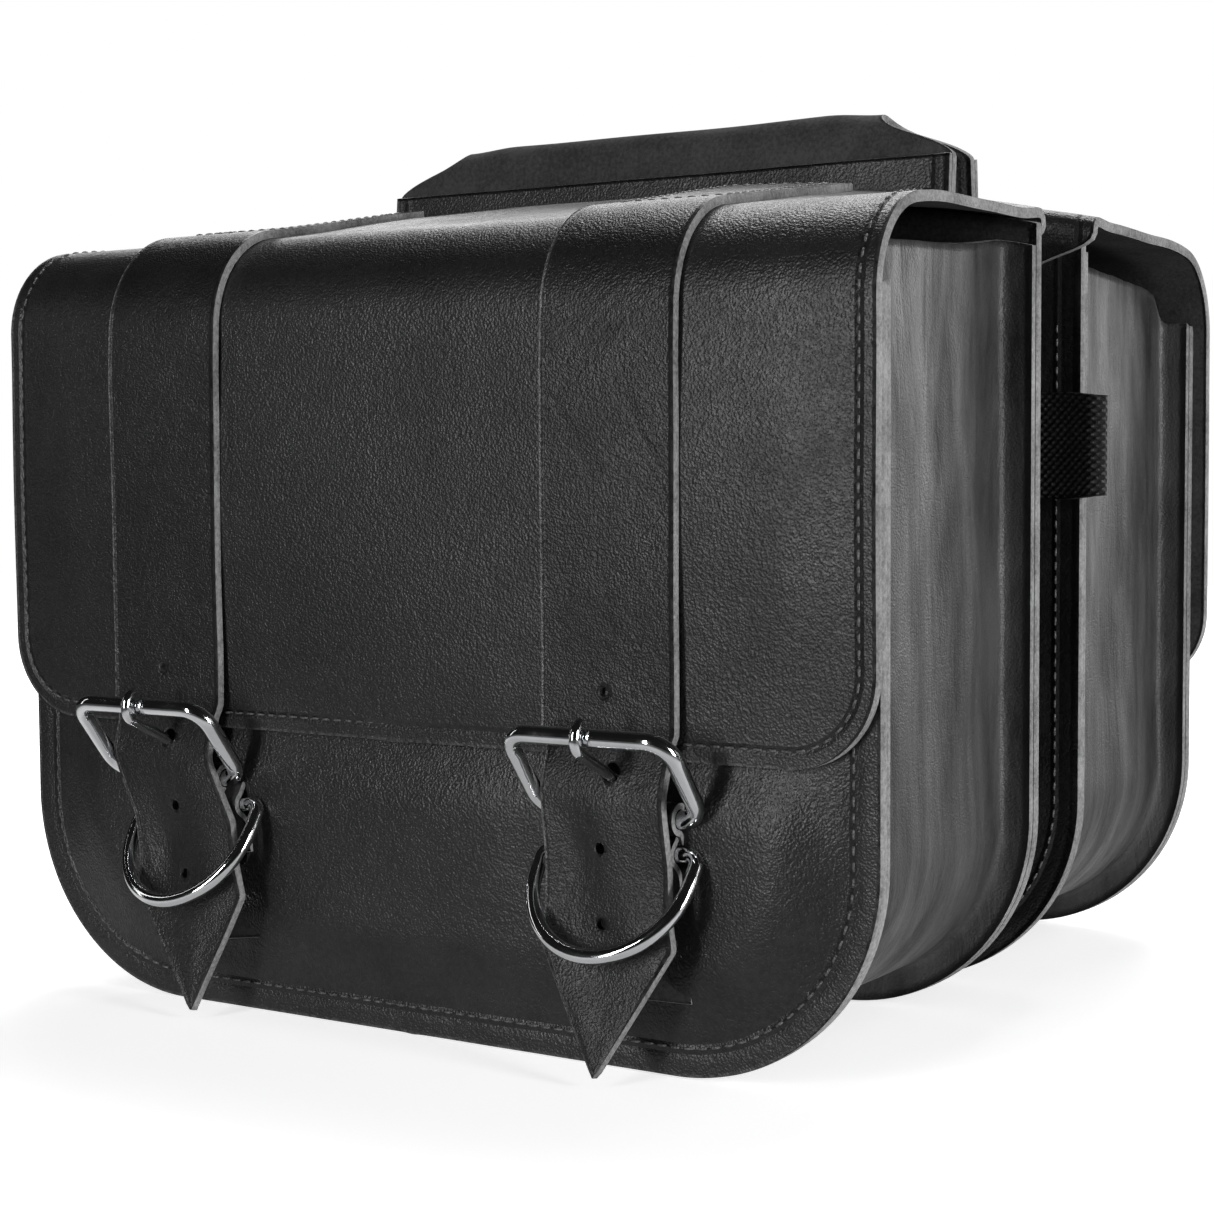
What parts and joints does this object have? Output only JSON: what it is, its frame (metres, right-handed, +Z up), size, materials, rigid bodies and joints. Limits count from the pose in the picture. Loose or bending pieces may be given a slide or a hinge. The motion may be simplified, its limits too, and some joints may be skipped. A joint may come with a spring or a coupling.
{
  "type": "motorcycle saddlebag",
  "caption": "Throw-over pair of leather saddlebags with hinged lids, buckled straps, swinging rings and a folding yoke.",
  "frame": {"origin": "on the ground, midway between the two bags", "axes": "+Z up, +X across the bags' faces, and the left bag's face looks towards -Y"},
  "size_m": [0.3782, 0.362, 0.323],
  "materials": {
    "leather_black": "satin, fine pebbled grain",
    "leather_gusset": "dull, creased soft hide",
    "leather_strap": "satin, smooth grain with pale cut edges",
    "chrome": "polished",
    "webbing": "coarse nylon weave",
    "board": "dull"
  },
  "bodies": {
    "left_bag": {"left_bag_front_panel": "leather_black", "left_bag_back_panel": "leather_black", "left_bag_gusset": "leather_gusset", "left_bag_front_seam": "leather_gusset", "left_bag_back_seam": "leather_gusset", "left_bag_front_board": "board", "left_bag_back_board": "board", "left_bag_base_board": "board", "left_bag_lid_flap": "leather_black", "left_bag_snap_studs": "chrome", "left_bag_tie_loop": "webbing", "left_bag_yoke_anchor": "leather_black"},
    "left_lid": {"left_bag_lid": "leather_black", "left_bag_left_strap": "leather_strap", "left_bag_right_strap": "leather_strap", "left_bag_left_chape": "leather_strap", "left_bag_right_chape": "leather_strap", "left_bag_snap_caps": "chrome", "left_bag_chape_rivets": "chrome"},
    "left_bag_left_buckle": {"left_bag_left_buckle": "chrome"},
    "left_bag_left_prong": {"left_bag_left_prong": "chrome"},
    "left_bag_left_ring": {"left_bag_left_ring": "chrome"},
    "left_bag_right_buckle": {"left_bag_right_buckle": "chrome"},
    "left_bag_right_prong": {"left_bag_right_prong": "chrome"},
    "left_bag_right_ring": {"left_bag_right_ring": "chrome"},
    "left_yoke": {"left_bag_yoke_half": "leather_black", "left_bag_yoke_facing": "leather_strap", "left_bag_yoke_rivets": "chrome"},
    "right_bag": {"right_bag_front_panel": "leather_black", "right_bag_back_panel": "leather_black", "right_bag_gusset": "leather_gusset", "right_bag_front_seam": "leather_gusset", "right_bag_back_seam": "leather_gusset", "right_bag_front_board": "board", "right_bag_back_board": "board", "right_bag_base_board": "board", "right_bag_lid_flap": "leather_black", "right_bag_snap_studs": "chrome", "right_bag_tie_loop": "webbing", "right_bag_yoke_anchor": "leather_black"},
    "right_lid": {"right_bag_lid": "leather_black", "right_bag_left_strap": "leather_strap", "right_bag_right_strap": "leather_strap", "right_bag_left_chape": "leather_strap", "right_bag_right_chape": "leather_strap", "right_bag_snap_caps": "chrome", "right_bag_chape_rivets": "chrome"},
    "right_bag_left_buckle": {"right_bag_left_buckle": "chrome"},
    "right_bag_left_prong": {"right_bag_left_prong": "chrome"},
    "right_bag_left_ring": {"right_bag_left_ring": "chrome"},
    "right_bag_right_buckle": {"right_bag_right_buckle": "chrome"},
    "right_bag_right_prong": {"right_bag_right_prong": "chrome"},
    "right_bag_right_ring": {"right_bag_right_ring": "chrome"},
    "right_yoke": {"right_bag_yoke_half": "leather_black", "right_bag_yoke_facing": "leather_strap", "right_bag_yoke_rivets": "chrome"}
  },
  "joints": [
    {"name": "left_lid_hinge", "type": "hinge", "parent": "left_bag", "child": "left_lid", "pos_m": [0, -0.017, 0.293], "axis": [-1, 0, 0], "range_deg": [0, 90]},
    {"name": "left_bag_left_ring_swing", "type": "hinge", "parent": "left_lid", "child": "left_bag_left_ring", "pos_m": [-0.09128, -0.15175, 0.072], "axis": [-0.9903, 0, -0.1386], "range_deg": [0, 90]},
    {"name": "left_bag_left_buckle_rock", "type": "hinge", "parent": "left_lid", "child": "left_bag_left_buckle", "pos_m": [-0.1, -0.15225, 0.084], "axis": [1, 0, 0], "range_deg": [-18, 0]},
    {"name": "left_bag_left_prong_lift", "type": "hinge", "parent": "left_lid", "child": "left_bag_left_prong", "pos_m": [-0.1, -0.15225, 0.084], "axis": [1, 0, 0], "range_deg": [0, 5]},
    {"name": "left_bag_right_ring_swing", "type": "hinge", "parent": "left_lid", "child": "left_bag_right_ring", "pos_m": [0.08844, -0.15175, 0.072], "axis": [-0.9996, 0, -0.0292], "range_deg": [0, 90]},
    {"name": "left_bag_right_buckle_rock", "type": "hinge", "parent": "left_lid", "child": "left_bag_right_buckle", "pos_m": [0.089, -0.15225, 0.084], "axis": [1, 0, 0], "range_deg": [-18, 0]},
    {"name": "left_bag_right_prong_lift", "type": "hinge", "parent": "left_lid", "child": "left_bag_right_prong", "pos_m": [0.089, -0.15225, 0.084], "axis": [1, 0, 0], "range_deg": [0, 5]},
    {"name": "right_lid_hinge", "type": "hinge", "parent": "right_bag", "child": "right_lid", "pos_m": [0, 0.017, 0.293], "axis": [1, 0, 0], "range_deg": [0, 90]},
    {"name": "right_bag_left_ring_swing", "type": "hinge", "parent": "right_lid", "child": "right_bag_left_ring", "pos_m": [0.09128, 0.15175, 0.072], "axis": [0.9903, 0, -0.1386], "range_deg": [0, 90]},
    {"name": "right_bag_left_buckle_rock", "type": "hinge", "parent": "right_lid", "child": "right_bag_left_buckle", "pos_m": [0.1, 0.15225, 0.084], "axis": [-1, 0, 0], "range_deg": [-18, 0]},
    {"name": "right_bag_left_prong_lift", "type": "hinge", "parent": "right_lid", "child": "right_bag_left_prong", "pos_m": [0.1, 0.15225, 0.084], "axis": [-1, 0, 0], "range_deg": [0, 5]},
    {"name": "right_bag_right_ring_swing", "type": "hinge", "parent": "right_lid", "child": "right_bag_right_ring", "pos_m": [-0.08844, 0.15175, 0.072], "axis": [0.9996, 0, -0.0292], "range_deg": [0, 90]},
    {"name": "right_bag_right_buckle_rock", "type": "hinge", "parent": "right_lid", "child": "right_bag_right_buckle", "pos_m": [-0.089, 0.15225, 0.084], "axis": [-1, 0, 0], "range_deg": [-18, 0]},
    {"name": "right_bag_right_prong_lift", "type": "hinge", "parent": "right_lid", "child": "right_bag_right_prong", "pos_m": [-0.089, 0.15225, 0.084], "axis": [-1, 0, 0], "range_deg": [0, 5]},
    {"name": "yoke_spread", "type": "hinge", "parent": "left_bag", "child": "left_yoke", "pos_m": [0, -0.0155, 0.22218], "axis": [-1, 0, 0], "range_deg": [0, 75]},
    {"name": "yoke_fold", "type": "hinge", "parent": "left_yoke", "child": "right_yoke", "pos_m": [0, 0, 0.323], "axis": [1, 0, 0], "range_deg": [0, 150]},
    {"name": "right_bag_hang", "type": "hinge", "parent": "right_yoke", "child": "right_bag", "pos_m": [0, 0.0155, 0.22218], "axis": [-1, 0, 0], "range_deg": [0, 75]}
  ],
  "couplings": [
    {"joint": "yoke_fold", "follows": "yoke_spread", "ratio": 2},
    {"joint": "right_bag_hang", "follows": "yoke_spread", "ratio": 1}
  ]
}
